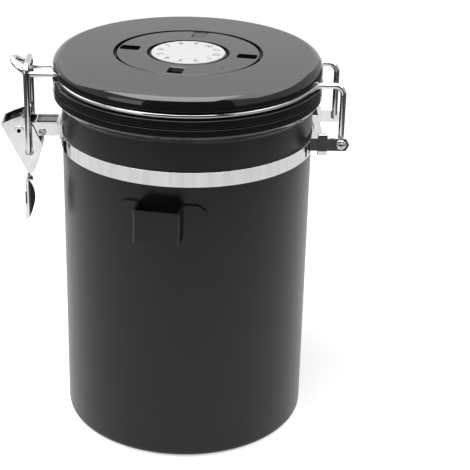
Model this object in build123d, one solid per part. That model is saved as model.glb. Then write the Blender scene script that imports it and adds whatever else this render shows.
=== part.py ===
"""Coffee canister with a hinged lid, a wire-bail latch, a one-way gas valve and a turning date ring.

Millimetres. The origin is the centre of the base, +Z is up, the hinge points to +X and the latch to -X.
Every sub-part is written to its own STEP file, named after its node.
"""

from build123d import *
from math import asin, atan, cos, degrees, radians, sin, sqrt
import os

# Clearances
seat_gap = 0.05  # rigid pieces seated in one another on one body
running_gap = 0.05  # radial clearance of a pin in its hole
slide_gap = 0.3  # faces of pieces that move apart
cut_over = 1.0  # overrun of every cut
edge_break = 0.25  # small rounding of pressed edges

# Canister
body_radius = 60.0
body_wall = 0.8
base_corner = 3.6
base_lip = 4.4
mouth_height = 172.0
collar_height = 7.6
collar_roof = 1.1
collar_lip_wall = 0.7
collar_lip_height = 4.0
collar_edge = 0.4
collar_toe = 0.6
collar_shoulder = 4.2  # height of the slope up to the full radius
collar_bulge = 6.0  # radius of the rounding there

# Neck band, 7 mm tall
band_height = 7.0
band_drop = 28.0  # its lower edge below the mouth
band_wall = 1.0
slot_width = 2.2
slot_height = 4.6
slot_pitch = 4.8
slot_angle_hinge = 21.7  # degrees from the bracket to the middle of its pair of slots
slot_angle_latch = 13.0

# Scoop holder, an omega strap turned a little off the latch's quarter
holder_turn = 11.3  # degrees from -Y towards -X
holder_drop = 24.3  # its lower edge below the band
holder_height = 15.5
holder_width = 21.4
holder_standoff = 10.4  # front face from the shell
holder_wall = 1.2
holder_half_span = 22.2  # arc length from the middle to a wing's end
holder_bend = 1.2
holder_end_round = 7.0

# Lid mouldings
lid_overhang = 4.0  # the collar's too
lid_gap = 0.7  # between the mouth and the flange
flange_height = 3.6
flange_edge = 0.5
groove_height = 4.7
cover_height = 7.0
shoulder_run = 5.6
shoulder_drop = 6.4
cover_wall = 2.2
cover_ledge = 1.5  # thickness of the rim under the shoulder
cover_corner = 3.0
groove_wall = 2.2
base_floor = 1.8
groove_wall_rise = 2.2  # above the cover's lower edge
plug_clearance = 4.45
plug_depth = 3.0
plug_wall = 1.8

# Gasket
gasket_inset = 2.0  # from the flange's rim
gasket_width = 5.5
gasket_seat_depth = 1.5
gasket_edge = 0.6

# Lid ring wire and bail wire
wire_radius = 1.4
ring_inset = 2.8  # its middle line from the rim
nose_half_width = 6.6
nose_bend = 3.0
nose_overlap = 0.3  # how far past the bail the nose turns up
nose_rise_angle = 40.0
nose_rise = 2.0  # length of the raised stretch before the round end
crook_bend = 3.5
leg_half_width = 16.9
leg_leave_angle = 30.0  # where the ring leaves its circle, from the hinge's direction
leg_bend = 4.4
leg_turn_bend = 2.0
leg_side_bend = 3.0
leg_head_radius = 2.2
leg_head_height = 0.7

# Hinge
hinge_standoff = 8.6  # the hinge's axis from the rim
hinge_rise = 5.5  # and above the band's lower edge
ear_height = 6.0
ear_wall = 1.0
ear_point = 1.6  # length of the pointed end
ear_margin = 3.9  # from the hinge's axis to the point
ear_inner = 19.0  # half the width between the ears
web_width = 3.1
yoke_wall = 1.0
sleeve_low_drop = 2.5
sleeve_top_rise = 2.1
sleeve_offset = 0.4  # from the yoke's back
sleeve_length = 4.5
sleeve_wall = 0.9

# Latch
lever_pivot_standoff = 16.2  # from the rim
lever_pivot_rise = 6.0  # above the band's lower edge
bail_hole_inset = 4.6  # from the pivot towards the canister
bail_hole_drop = 10.6
bail_half_width = 9.8
bail_gap = 1.7  # crossbar above the nose, taken up as the lever passes its dead centre
bail_corner = 3.4
bail_foot_bend = 2.0
bail_foot_inset = 1.6  # how far the wire ends inside the cheek
cheek_outer = 7.6
cheek_wall = 0.9
lug_gap = 0.25
lug_wall = 1.0
channel_height = 6.5
channel_web_inset = 7.7  # from the pivot
lug_end_round = 3.0
channel_top_rise = 3.6  # top web above the pivot
bracket_rivet_standoff = 8.1  # from the band
bracket_rivet_drop = 1.1
bracket_rivet_radius = 1.2
bracket_rivet_head = 1.8
bracket_rivet_head_height = 0.55
pivot_radius = 1.6
pivot_bore = 0.9
pivot_head = 2.2
pivot_head_height = 0.5
foot_half_width = 10.5
foot_wall = 0.8
foot_height = 6.6
foot_ear_margin = 2.8  # from the rivet to the ear's end
foot_ear_wall = 0.8
cheek_width = 19.0
cheek_length = 29.0
cheek_round = 1.2
neck_half_width = 2.4
neck_length = 9.0
tab_half_width = 6.8
tab_length = 21.0
tab_cup_radius = 9.0
tab_wall = 0.9
tab_inset = 1.6  # back of the tab from the pivot towards the canister

# Date ring and dial
pocket_share = 0.55  # of the lid's radius
pocket_depth = 4.5
pocket_floor = 1.8
pocket_wall = 2.0
date_ring_gap = 1.1
date_ring_recess = 0.2
date_ring_well_gap = 2.1  # round the dial
date_ring_edge = 0.5
notch_count = 4
notch_inner_margin = 3.7
notch_outer_margin = 1.8
notch_width = 7.0
notch_depth = 2.4  # at its inner end
notch_outer_depth = 0.5
notch_corner = 1.2
first_notch_angle = 258.5  # degrees from +X, anticlockwise seen from above
dial_radius = 17.4
dial_thickness = 0.6
hub_flange_overlap = 0.6  # beyond the dial
hub_flange = 1.2
hub_stem_radius = 4.0
hub_guide_radius = 12.6
hub_screw_radius = 1.5
hub_screw_head = 6.0
hub_screw_head_height = 1.8
hub_screw_grip = 2.6  # how far it bites into the hub
vent_count = 6
vent_radius = 1.5
vent_inset = 9.2  # from the pocket's wall

# Valve
valve_hole = 9.0
valve_seat_flange = 12.0
valve_seat_flange_height = 1.2
valve_port_count = 6
valve_port_radius = 1.1
valve_port_circle = 4.6
valve_disc_radius = 6.6
valve_disc_thickness = 0.7
valve_stem_radius = 1.2
valve_lift = 0.8
valve_stem_length = 1.6
valve_cap_wall = 0.8
valve_cap_radius = 8.6
valve_cap_port = 1.2
valve_cap_port_circle = 5.0
filter_radius = 13.0
filter_thickness = 1.0
retainer_wall = 1.2
retainer_depth = 2.6
retainer_slot_count = 8
retainer_slot_width = 1.6
retainer_slot_inner = 3.5
retainer_slot_outer = 11.0

# Lid screws
screw_count = 4
screw_inset = 8.0  # from the plug's rim
screw_radius = 1.3
screw_head = 2.6
screw_head_height = 1.5
screw_boss = 3.4
screw_length = 9.0
socket_radius_share = 0.45  # of a screw head, for its drive socket
socket_depth_share = 0.5

# Outlines given as shares of the sizes that they follow
cheek_outline_shares = [  # from the pivot: share of cheek_width towards +X, share of cheek_length up
    (-0.453, 0.097),
    (-0.168, 0.183),
    (0.058, 0.238),
    (0.184, 0.207),
    (0.363, 0.062),
    (0.537, -0.228),
    (0.542, -0.334),
    (0.500, -0.459),
    (0.389, -0.659),
    (0.305, -0.748),
    (0.168, -0.721),
]

# Places worked out from the sizes
body_inner = body_radius - body_wall
shell_top = mouth_height - collar_roof
lip_inner = body_radius - base_corner - base_lip
collar_inner = body_inner - seat_gap - collar_lip_wall
band_bottom = mouth_height - band_drop
band_top = band_bottom + band_height
band_inner = body_radius + seat_gap
band_outer = band_inner + band_wall
bracket_seat = band_outer + seat_gap
holder_bottom = band_bottom - holder_drop
holder_reach = body_radius + holder_standoff
lid_radius = body_radius + lid_overhang
flange_bottom = mouth_height + lid_gap
flange_top = flange_bottom + flange_height
skirt_bottom = flange_top + groove_height
lid_height = skirt_bottom + cover_height
hub_wall_top = skirt_bottom + groove_wall_rise
plug_radius = collar_inner - plug_clearance
gasket_outer = lid_radius - gasket_inset
gasket_inner = gasket_outer - gasket_width
gasket_top = flange_bottom + gasket_seat_depth
ring_radius = lid_radius - ring_inset
screw_circle = plug_radius - screw_inset
groove_radius = ring_radius - wire_radius - seat_gap
ring_height = flange_top + wire_radius + seat_gap
base_floor_top = flange_bottom + base_floor
shoulder_height = lid_height - shoulder_drop
shoulder_start = lid_radius - shoulder_run
pocket_radius = lid_radius * pocket_share
vent_circle = pocket_radius - vent_inset
pocket_floor_top = lid_height - pocket_depth
pocket_floor_bottom = pocket_floor_top - pocket_floor
ring_top = lid_height - date_ring_recess
ring_bottom = pocket_floor_top + slide_gap
hub_flange_top = ring_top - dial_thickness
hub_flange_bottom = hub_flange_top - hub_flange
lip_top = hub_flange_bottom - slide_gap
hub_flange_radius = dial_radius + hub_flange_overlap
date_ring_radius = pocket_radius - date_ring_gap
date_ring_well = dial_radius + date_ring_well_gap
notch_inner = date_ring_well + notch_inner_margin
notch_outer = date_ring_radius - notch_outer_margin
hinge_reach = lid_radius + hinge_standoff
hinge_height = band_bottom + hinge_rise
ear_tip_reach = hinge_reach + ear_margin
web_reach = bracket_seat + web_width
sleeve_inner_reach = bracket_seat + sleeve_offset
sleeve_outer_reach = sleeve_inner_reach + sleeve_length
ear_outer = ear_inner + ear_wall
lever_pivot_reach = lid_radius + lever_pivot_standoff
lever_pivot_height = band_bottom + lever_pivot_rise
bail_reach = lever_pivot_reach - bail_hole_inset
nose_crook = bail_reach + nose_overlap
channel_web_reach = lever_pivot_reach - channel_web_inset
bracket_rivet_reach = bracket_seat + bracket_rivet_standoff
foot_ear_reach = bracket_rivet_reach + foot_ear_margin
tab_reach = lever_pivot_reach - tab_inset
bail_foot_height = lever_pivot_height - bail_hole_drop
crossbar_height = ring_height + 2 * wire_radius + bail_gap
lug_outer = cheek_outer - cheek_wall - lug_gap
lug_inner = lug_outer - lug_wall
channel_top = lever_pivot_height + channel_top_rise
bracket_rivet_height = lever_pivot_height - bracket_rivet_drop
seat_flange_top = base_floor_top + valve_seat_flange_height


def turned(points, radii=None):
    """Solid of revolution about Z from a closed outline of (radius, height) points."""
    outline = FilletPolyline(*points, radius=radii, close=True) if radii else Polyline(*points, close=True)
    return revolve(Plane.XZ * make_face(outline), Axis.Z)


def upright(radius, low, high, x=0, y=0):
    """Vertical cylinder between two heights."""
    return Pos(x, y, (low + high) / 2) * Cylinder(radius, high - low)


def crosswise(radius, start, end, reach, height):
    """Cylinder along Y between two Y places, at X = reach and Z = height."""
    return Pos(reach, (start + end) / 2, height) * Rot(X=90) * Cylinder(radius, abs(end - start))


def block(x, y, z):
    """Box between pairs of X, Y and Z places."""
    middle = Pos(sum(x) / 2, sum(y) / 2, sum(z) / 2)
    return middle * Box(abs(x[1] - x[0]), abs(y[1] - y[0]), abs(z[1] - z[0]))


def rod(edges, radius):
    """Round wire swept along joined edges."""
    path = Wire(edges)
    section = Plane(origin=path @ 0, z_dir=path % 0) * Circle(radius)
    return sweep(section, path=path)


def both_sides(solid):
    """The solid and its mirror image across the XZ plane."""
    return [solid, mirror(solid, Plane.XZ)]


def canister_shell():
    return turned(
        [
            (lip_inner, 0),
            (body_radius, 0),
            (body_radius, shell_top),
            (body_inner, shell_top),
            (body_inner, body_wall),
            (lip_inner, body_wall),
        ],
        [0, base_corner, 0, 0, base_corner - body_wall, 0],
    )


def base_plate():
    """Stepped disc whose underside is flush with the shell's turned-in lip."""
    disc_radius = lip_inner - seat_gap
    flange_radius = body_radius - base_corner - seat_gap
    return turned(
        [
            (0, 0),
            (disc_radius, 0),
            (disc_radius, body_wall),
            (flange_radius, body_wall),
            (flange_radius, 2 * body_wall),
            (0, 2 * body_wall),
        ]
    )


def mouth_collar():
    bottom = mouth_height - collar_height
    outside_shell = body_radius + seat_gap
    lip_bottom = mouth_height - collar_roof - collar_lip_height
    return turned(
        [
            (outside_shell, bottom),
            (outside_shell + collar_toe, bottom),
            (lid_radius, bottom + collar_shoulder),
            (lid_radius, mouth_height),
            (collar_inner, mouth_height),
            (collar_inner, lip_bottom),
            (collar_inner + collar_lip_wall, lip_bottom),
            (collar_inner + collar_lip_wall, shell_top),
            (outside_shell, shell_top),
        ],
        [0, collar_toe / 2, collar_bulge, collar_edge, collar_edge, collar_edge / 2, 0, 0, 0],
    )


def neck_band():
    """Strap round the neck, with a pair of slots on each side of both brackets."""
    band = upright(band_outer, band_bottom, band_top) - upright(band_inner, band_bottom, band_top)
    middle = (band_bottom + band_top) / 2
    cutter = Pos(X=band_outer) * Box(2 * band_wall, slot_width, slot_height)
    step = degrees(slot_pitch / band_outer)
    for centre, offset in ((0, slot_angle_hinge), (180, slot_angle_latch)):
        for side in (-1, 1):
            for place in (-0.5, 0.5):
                band -= Pos(Z=middle) * Rot(Z=centre + side * offset + place * step) * cutter
    return band


def scoop_holder():
    """Omega strap: two wings on the shell and a box that stands off it, open above and below."""
    seat = body_radius + seat_gap
    wing_outer = seat + holder_wall
    half_span = wing_outer * sin(holder_half_span / wing_outer)
    half_box = holder_width / 2
    wings = Circle(wing_outer) - Circle(seat)
    outside = Pos(X=holder_reach / 2) * Rectangle(holder_reach, holder_width)
    inside = Pos(X=(holder_reach - holder_wall) / 2) * Rectangle(
        holder_reach - holder_wall, holder_width - 2 * holder_wall
    )
    plan = (wings + outside) - Circle(seat) - inside
    strap = Pos(Z=holder_bottom) * extrude(plan, holder_height)
    corners = strap.edges().filter_by(Axis.Z).filter_by(lambda e: e.center().X > holder_reach - 2 * holder_wall)
    outer_corners = corners.filter_by(lambda e: abs(e.center().Y) > half_box - holder_wall / 2)
    strap = fillet(outer_corners, holder_bend)
    roots = strap.edges().filter_by(Axis.Z).filter_by(
        lambda e: abs(abs(e.center().Y) - half_box) < seat_gap and e.center().X < wing_outer
    )
    strap = fillet(roots, holder_bend)
    window = extrude(
        Plane.YZ * Pos(0, holder_bottom + holder_height / 2)
        * RectangleRounded(2 * half_span, holder_height, holder_end_round),
        holder_reach + cut_over,
    )
    return Rot(Z=-90 - holder_turn) * (strap & window)


def curved_plate(centre_angle, half_width, wall, low, high):
    """Plate bent round the band, centred on one side of it."""
    ring = upright(bracket_seat + wall, low, high) - upright(bracket_seat, low, high)
    window = Pos(bracket_seat, 0, (low + high) / 2) * Box(
        bracket_seat, 2 * half_width, high - low
    )
    return Rot(Z=centre_angle) * (ring & window)


def ear_plate():
    """One ear with a pointed end, upright along X, on the -Y side."""
    half = ear_height / 2
    root = bracket_seat * cos(asin(ear_outer / bracket_seat))
    tip = ear_tip_reach - ear_point
    outline = Polyline(
        (root, hinge_height - half),
        (tip, hinge_height - half),
        (ear_tip_reach, hinge_height),
        (tip, hinge_height + half),
        (root, hinge_height + half),
        close=True,
    )
    return extrude(Plane.XZ.offset(ear_inner) * make_face(outline), ear_wall)


def hinge_bracket():
    """Yoke on the band: a bent back, a top web and two ears bored for the lid wire's turned ends."""
    low = hinge_height - ear_height / 2
    high = hinge_height + ear_height / 2
    back = curved_plate(0, ear_outer, yoke_wall, low, high)
    web = block((body_radius / 2, web_reach), (-ear_outer, ear_outer), (high - yoke_wall, high))
    web -= upright(bracket_seat, low, high + cut_over)
    yoke = back + web
    for ear in both_sides(ear_plate()):
        yoke += ear - upright(bracket_seat, low - cut_over, high + cut_over)
    return yoke - crosswise(
        wire_radius + running_gap, -ear_outer - cut_over, ear_outer + cut_over, hinge_reach, hinge_height
    )


def hinge_sleeves():
    """Folded clip round the root of each ear, notched over the yoke's top web."""
    low = hinge_height - ear_height / 2
    high = hinge_height + ear_height / 2
    inner = (ear_inner - seat_gap, ear_outer + seat_gap)
    outer = (inner[0] - sleeve_wall, inner[1] + sleeve_wall)
    reach = (sleeve_inner_reach, sleeve_outer_reach)
    shell = block(reach, outer, (low - sleeve_low_drop, high + sleeve_top_rise))
    cavity = block(
        (reach[0] - cut_over, reach[1] + cut_over), inner, (low - seat_gap, high + seat_gap)
    )
    notch = block(
        (reach[0] - cut_over, web_reach + seat_gap),
        (outer[0] - cut_over, inner[1]),
        (low - seat_gap, high + seat_gap),
    )
    back = upright(bracket_seat + yoke_wall + seat_gap, band_bottom - cut_over, high + cut_over)
    return both_sides(shell - cavity - notch - back)


def bracket_rivet_shank():
    """Shank that the latch's foot and bracket are both bored for."""
    return crosswise(
        bracket_rivet_radius, -lug_outer, lug_outer, -bracket_rivet_reach, bracket_rivet_height
    )


def latch_foot():
    """Bent plate on the band with two ears inside the latch bracket."""
    middle = channel_top - channel_height / 2
    low = middle - foot_height / 2
    high = middle + foot_height / 2
    plate = curved_plate(180, foot_half_width, foot_wall, low, high)
    ear_high = channel_top - lug_wall - seat_gap
    ear = block(
        (-foot_ear_reach, -bracket_seat), (lug_inner - seat_gap - foot_ear_wall, lug_inner - seat_gap),
        (channel_top - channel_height, ear_high),
    )
    for side in both_sides(ear):
        plate += side - upright(bracket_seat, low - cut_over, high + cut_over)
    return plate - bracket_rivet_shank()


def latch_bracket():
    """Inverted U channel from the foot out to the lever's pivot."""
    root = bracket_seat + foot_wall + seat_gap
    low = channel_top - channel_height
    end = lever_pivot_reach + lug_end_round
    lug_outline = FilletPolyline(
        (-root, low), (-root, channel_top), (-end, channel_top), (-end, low),
        radius=[0, 0, lug_end_round, lug_end_round], close=True,
    )
    lug = extrude(Plane.XZ.offset(lug_inner) * make_face(lug_outline), lug_wall)
    web = block((-channel_web_reach, -root), (-lug_inner, lug_inner), (channel_top - lug_wall, channel_top))
    channel = web
    for side in both_sides(lug):
        channel += side
    channel -= upright(root, low - cut_over, channel_top + cut_over)
    channel -= bracket_rivet_shank()
    return channel - crosswise(
        pivot_radius + running_gap, -lug_outer, lug_outer, -lever_pivot_reach, lever_pivot_height
    )


def latch_bracket_rivet():
    head_end = lug_outer + bracket_rivet_head_height
    rivet = bracket_rivet_shank()
    for side in (-1, 1):
        rivet += crosswise(
            bracket_rivet_head, side * lug_outer, side * head_end, -bracket_rivet_reach, bracket_rivet_height
        )
    return rivet


def cheek_points():
    """The cheek's outline as (X, Z) places."""
    return [
        (-lever_pivot_reach + cheek_width * x, lever_pivot_height + cheek_length * z)
        for x, z in cheek_outline_shares
    ]


def latch_lever():
    """Pressed lever: two cheeks, a web along their outer edge, a neck and a cupped finger tab."""
    points = cheek_points()
    radii = [0, 0] + [cheek_round] * (len(points) - 4) + [0, 0]
    outline = FilletPolyline(*points, radius=radii, close=True)
    cheek = extrude(Plane.XZ.offset(cheek_outer - cheek_wall) * make_face(outline), cheek_wall)
    top, foot = Vector(*points[0]), Vector(*points[-1])
    inward = Vector(-(foot - top).Y, (foot - top).X).normalized() * cheek_wall
    web_outline = Polyline(top, foot, foot + inward, top + inward, close=True)
    web = extrude(Plane.XZ * make_face(web_outline), cheek_outer, both=True)
    neck_outline = Polyline(
        foot,
        foot + inward,
        (-tab_reach + 3 * tab_wall / 2, foot.Y - neck_length),
        (-tab_reach + tab_wall / 2, foot.Y - neck_length),
        close=True,
    )
    neck = extrude(Plane.XZ * make_face(neck_outline), neck_half_width, both=True)
    tab_middle = foot.Y - neck_length - tab_length / 2 + tab_wall
    cup = upright(tab_cup_radius, tab_middle - tab_length, tab_middle + tab_length)
    cup -= upright(tab_cup_radius - tab_wall, tab_middle - tab_length, tab_middle + tab_length)
    cup = Pos(X=-tab_reach + tab_cup_radius) * cup
    leaf_plane = Plane.YZ.offset(-tab_reach - cut_over)
    leaf = extrude(
        leaf_plane * Pos(0, tab_middle) * Ellipse(tab_half_width, tab_length / 2),
        tab_cup_radius + cut_over,
    )
    lever = web + neck + (cup & leaf)
    for side in both_sides(cheek):
        lever += side
    lever -= crosswise(pivot_radius, -cheek_outer, cheek_outer, -lever_pivot_reach, lever_pivot_height)
    return lever - crosswise(
        wire_radius + running_gap, -cheek_outer, cheek_outer, -bail_reach, bail_foot_height
    )


def lever_pivot_rivet():
    """Hollow rivet with a head outside each cheek."""
    head_end = cheek_outer + pivot_head_height
    rivet = crosswise(pivot_radius, -cheek_outer, cheek_outer, -lever_pivot_reach, lever_pivot_height)
    for side in (-1, 1):
        rivet += crosswise(
            pivot_head, side * cheek_outer, side * head_end, -lever_pivot_reach, lever_pivot_height
        )
    return rivet - crosswise(pivot_bore, -head_end, head_end, -lever_pivot_reach, lever_pivot_height)


def bail_wire():
    """Closed-topped wire loop whose ends turn in through the cheeks."""
    end = cheek_outer - cheek_wall - bail_foot_inset
    route = FilletPolyline(
        (-bail_reach, -end, bail_foot_height),
        (-bail_reach, -bail_half_width, bail_foot_height),
        (-bail_reach, -bail_half_width, crossbar_height),
        (-bail_reach, bail_half_width, crossbar_height),
        (-bail_reach, bail_half_width, bail_foot_height),
        (-bail_reach, end, bail_foot_height),
        radius=[bail_foot_bend, bail_corner, bail_corner, bail_foot_bend],
    )
    return rod(route.edges(), wire_radius)


def ring_half(side):
    """One half of the lid wire as edges, from the nose's round end to the turned end at the hinge."""
    rise = Vector(-cos(radians(nose_rise_angle)), 0, sin(radians(nose_rise_angle)))
    crook = Vector(-nose_crook, side * nose_half_width, ring_height)
    rise_end = crook + rise * nose_rise
    bend_y = nose_half_width + nose_bend
    bend_x = sqrt((ring_radius + nose_bend) ** 2 - bend_y**2)
    nose_in = Vector(-bend_x, side * nose_half_width, ring_height)
    share = ring_radius / (ring_radius + nose_bend)
    on_ring = Vector(-bend_x * share, side * bend_y * share, ring_height)
    leave = Vector(
        ring_radius * cos(radians(leg_leave_angle)),
        side * ring_radius * sin(radians(leg_leave_angle)),
        ring_height,
    )
    run = (leave.Y * side - leg_half_width) / cos(radians(leg_leave_angle))
    leg_corner = Vector(leave.X + run * sin(radians(leg_leave_angle)), side * leg_half_width, ring_height)
    nose = FilletPolyline(rise_end, crook, nose_in, radius=[crook_bend])
    nose_turn = TangentArc(nose_in, on_ring, tangent=(1, 0, 0))
    ring = ThreePointArc(on_ring, (0, side * ring_radius, ring_height), leave)
    leg = FilletPolyline(
        leave,
        leg_corner,
        (hinge_reach, side * leg_half_width, ring_height),
        (hinge_reach, side * leg_half_width, hinge_height),
        (hinge_reach, side * ear_outer, hinge_height),
        radius=[leg_side_bend, leg_bend, leg_turn_bend],
    )
    return rise_end, nose.edges() + nose_turn.edges() + ring.edges() + leg.edges()


def lid_ring_wire():
    """One wire: raised nose, ring in the lid's groove, and two legs that end in the hinge's ears."""
    near_end, near = ring_half(-1)
    far_end, far = ring_half(1)
    tip = Vector(
        near_end.X - nose_half_width * cos(radians(nose_rise_angle)),
        0,
        near_end.Z + nose_half_width * sin(radians(nose_rise_angle)),
    )
    round_end = ThreePointArc(near_end, tip, far_end)
    wire = rod(near + round_end.edges() + far, wire_radius)
    for side in (-1, 1):
        head_start = side * (ear_outer + running_gap)
        wire += crosswise(wire_radius, side * ear_inner, head_start, hinge_reach, hinge_height)
        wire += crosswise(
            leg_head_radius, head_start, head_start + side * leg_head_height, hinge_reach, hinge_height
        )
    return wire


def screw_places():
    """Places of the screws that hold the lid's two mouldings together."""
    return PolarLocations(screw_circle, screw_count, start_angle=180 / screw_count)


def lid_cover():
    """Domed cover with a ledge over the groove, a round pocket, vents and screw bosses."""
    ledge = groove_radius + seat_gap
    ledge_top = skirt_bottom + cover_ledge
    outer = EllipticalCenterArc((shoulder_start, shoulder_height), shoulder_run, shoulder_drop)
    pocket_outer = pocket_radius + pocket_wall
    roof = lid_height - cover_wall
    inside = FilletPolyline(
        outer @ 1,
        (pocket_radius, lid_height),
        (pocket_radius, pocket_floor_top),
        (hub_stem_radius + seat_gap, pocket_floor_top),
        (hub_stem_radius + seat_gap, pocket_floor_bottom),
        (pocket_outer, pocket_floor_bottom),
        (pocket_outer, roof),
        (lid_radius - cover_wall, roof),
        (lid_radius - cover_wall, ledge_top),
        (ledge, ledge_top),
        (ledge, skirt_bottom),
        (lid_radius, skirt_bottom),
        outer @ 0,
        radius=[0, 0, 0, 0, 0, 0, cover_corner, 0, 0, 0, 0],
    )
    cover = revolve(Plane.XZ * make_face(outer + inside), Axis.Z)
    boss = upright(screw_boss, base_floor_top, roof + cover_wall / 2) - upright(
        screw_radius, base_floor_top, flange_bottom + screw_length
    )
    for place in screw_places():
        cover += place * boss
    for place in PolarLocations(vent_circle, vent_count):
        cover -= place * upright(vent_radius, pocket_floor_bottom - cut_over, pocket_floor_top + cut_over)
    return cover


def lid_base():
    """Lower moulding: flange, groove wall, floor with a hole for the valve, shallow plug and gasket groove."""
    plug_bottom = flange_bottom - plug_depth
    plug_inner = plug_radius - plug_wall
    wall_inner = groove_radius - groove_wall
    moulding = turned(
        [
            (valve_hole, flange_bottom),
            (plug_inner, flange_bottom),
            (plug_inner, plug_bottom),
            (plug_radius, plug_bottom),
            (plug_radius, flange_bottom),
            (gasket_inner, flange_bottom),
            (gasket_inner, gasket_top),
            (gasket_outer, gasket_top),
            (gasket_outer, flange_bottom),
            (lid_radius, flange_bottom),
            (lid_radius, flange_top),
            (groove_radius, flange_top),
            (groove_radius, hub_wall_top),
            (wall_inner, hub_wall_top),
            (wall_inner, flange_top),
            (plug_radius, flange_top),
            (plug_radius, base_floor_top),
            (valve_hole, base_floor_top),
        ],
        [0, 0, edge_break, edge_break, 0, 0, 0, 0, 0, flange_edge, flange_edge, 0, 0, 0, 0, 0, 0, 0],
    )
    for place in screw_places():
        moulding -= place * upright(screw_radius, flange_bottom - cut_over, base_floor_top + cut_over)
    return moulding


def lid_gasket():
    return turned(
        [
            (gasket_inner + seat_gap, mouth_height + slide_gap),
            (gasket_outer - seat_gap, mouth_height + slide_gap),
            (gasket_outer - seat_gap, gasket_top),
            (gasket_inner + seat_gap, gasket_top),
        ],
        [gasket_edge, gasket_edge, 0, 0],
    )


def screw(radius, head_radius, head_height, head_bottom, tip):
    """Upright screw with its head below and a round drive socket."""
    head_top = head_bottom + head_height
    body = upright(radius, head_top, tip) + upright(head_radius, head_bottom, head_top)
    socket_top = head_bottom + head_height * socket_depth_share
    return body - upright(head_radius * socket_radius_share, head_bottom - cut_over, socket_top)


def lid_screws():
    one = screw(
        screw_radius,
        screw_head,
        screw_head_height,
        flange_bottom - screw_head_height,
        flange_bottom + screw_length,
    )
    return [place * one for place in screw_places()]


def dial_hub():
    """Hub screwed to the pocket's floor, whose flange keeps the date ring in and carries the dial."""
    stem = upright(hub_stem_radius, pocket_floor_bottom, pocket_floor_top)
    guide = upright(hub_guide_radius, pocket_floor_top, hub_flange_bottom)
    flange = upright(hub_flange_radius, hub_flange_bottom, hub_flange_top)
    bore = upright(hub_screw_radius, pocket_floor_bottom, pocket_floor_top + hub_screw_grip)
    return stem + guide + flange - bore


def hub_screw():
    return screw(
        hub_screw_radius,
        hub_screw_head,
        hub_screw_head_height,
        pocket_floor_bottom - hub_screw_head_height,
        pocket_floor_top + hub_screw_grip,
    )


def date_dial():
    return upright(dial_radius, hub_flange_top, hub_flange_top + dial_thickness)


def date_ring():
    """Ring in the pocket with a retaining lip and four finger notches that run out towards its rim."""
    ring = turned(
        [
            (hub_guide_radius + running_gap, ring_bottom),
            (date_ring_radius, ring_bottom),
            (date_ring_radius, ring_top),
            (date_ring_well, ring_top),
            (date_ring_well, lip_top),
            (hub_guide_radius + running_gap, lip_top),
        ],
        [0, 0, date_ring_edge, date_ring_edge, 0, 0],
    )
    notch_length = notch_outer - notch_inner
    slope = degrees(atan((notch_depth - notch_outer_depth) / notch_length))
    notch = extrude(
        Pos(notch_length / 2) * RectangleRounded(notch_length, notch_width, notch_corner),
        notch_depth + cut_over,
    )
    notch = Pos(notch_inner, 0, ring_top - notch_depth) * Rot(Y=-slope) * notch
    for index in range(notch_count):
        ring -= Rot(Z=first_notch_angle + index * 360 / notch_count) * notch
    return ring


def valve_seat():
    """Ported disc held in the lid's floor, with a guide hole for the valve's stem."""
    seat = upright(valve_hole - seat_gap, flange_bottom, base_floor_top)
    seat += upright(valve_seat_flange, base_floor_top, seat_flange_top)
    seat -= upright(valve_stem_radius + running_gap, flange_bottom - cut_over, seat_flange_top + cut_over)
    for place in PolarLocations(valve_port_circle, valve_port_count):
        seat -= place * upright(valve_port_radius, flange_bottom - cut_over, seat_flange_top + cut_over)
    return seat


def valve_disc():
    bottom = seat_flange_top + seat_gap
    disc = upright(valve_disc_radius, bottom, bottom + valve_disc_thickness)
    return disc + upright(valve_stem_radius, bottom - valve_stem_length, bottom)


def valve_cap():
    """Cage over the valve disc that stops its lift."""
    inside_top = seat_flange_top + seat_gap + valve_disc_thickness + valve_lift + slide_gap
    cap = upright(valve_cap_radius, seat_flange_top, inside_top + valve_cap_wall)
    cap -= upright(valve_cap_radius - valve_cap_wall, seat_flange_top, inside_top)
    for place in PolarLocations(valve_cap_port_circle, valve_port_count):
        cap -= place * upright(valve_cap_port, inside_top - cut_over, inside_top + 2 * cut_over)
    return cap


def filter_retainer():
    """Shallow cup under the lid's floor with radial slots in its face."""
    outer = filter_radius + seat_gap + retainer_wall
    bottom = flange_bottom - retainer_depth
    face_top = bottom + retainer_wall
    cup = upright(outer, bottom, flange_bottom) - upright(filter_radius + seat_gap, face_top, flange_bottom)
    slot = Pos((retainer_slot_inner + retainer_slot_outer) / 2, 0, face_top) * Box(
        retainer_slot_outer - retainer_slot_inner, retainer_slot_width, 2 * retainer_depth
    )
    for index in range(retainer_slot_count):
        cup -= Rot(Z=index * 360 / retainer_slot_count) * slot
    return cup


def filter_disc():
    face_top = flange_bottom - retainer_depth + retainer_wall
    return upright(filter_radius, face_top, face_top + filter_thickness)


def write(name, shape):
    """Write one node, a solid or a list of separate solids, to its STEP file."""
    solids = []
    for item in shape if isinstance(shape, list) else [shape]:
        solids += item.solids()
    export_step(Compound(children=solids) if len(solids) > 1 else solids[0], f"parts/{name}.step")


os.makedirs("parts", exist_ok=True)
for make in (
    canister_shell,
    base_plate,
    mouth_collar,
    neck_band,
    scoop_holder,
    hinge_bracket,
    hinge_sleeves,
    latch_foot,
    latch_bracket,
    latch_bracket_rivet,
    latch_lever,
    lever_pivot_rivet,
    bail_wire,
    lid_ring_wire,
    lid_cover,
    lid_base,
    lid_gasket,
    lid_screws,
    dial_hub,
    hub_screw,
    date_dial,
    date_ring,
    valve_seat,
    valve_disc,
    valve_cap,
    filter_retainer,
    filter_disc,
):
    write(make.__name__, make())
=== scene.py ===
"""Looks of the coffee canister: painted steel body, gloss lid, chrome wire latch, date ring."""

import math
import bmesh
import bpy
from mathutils import Matrix, Vector


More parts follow.
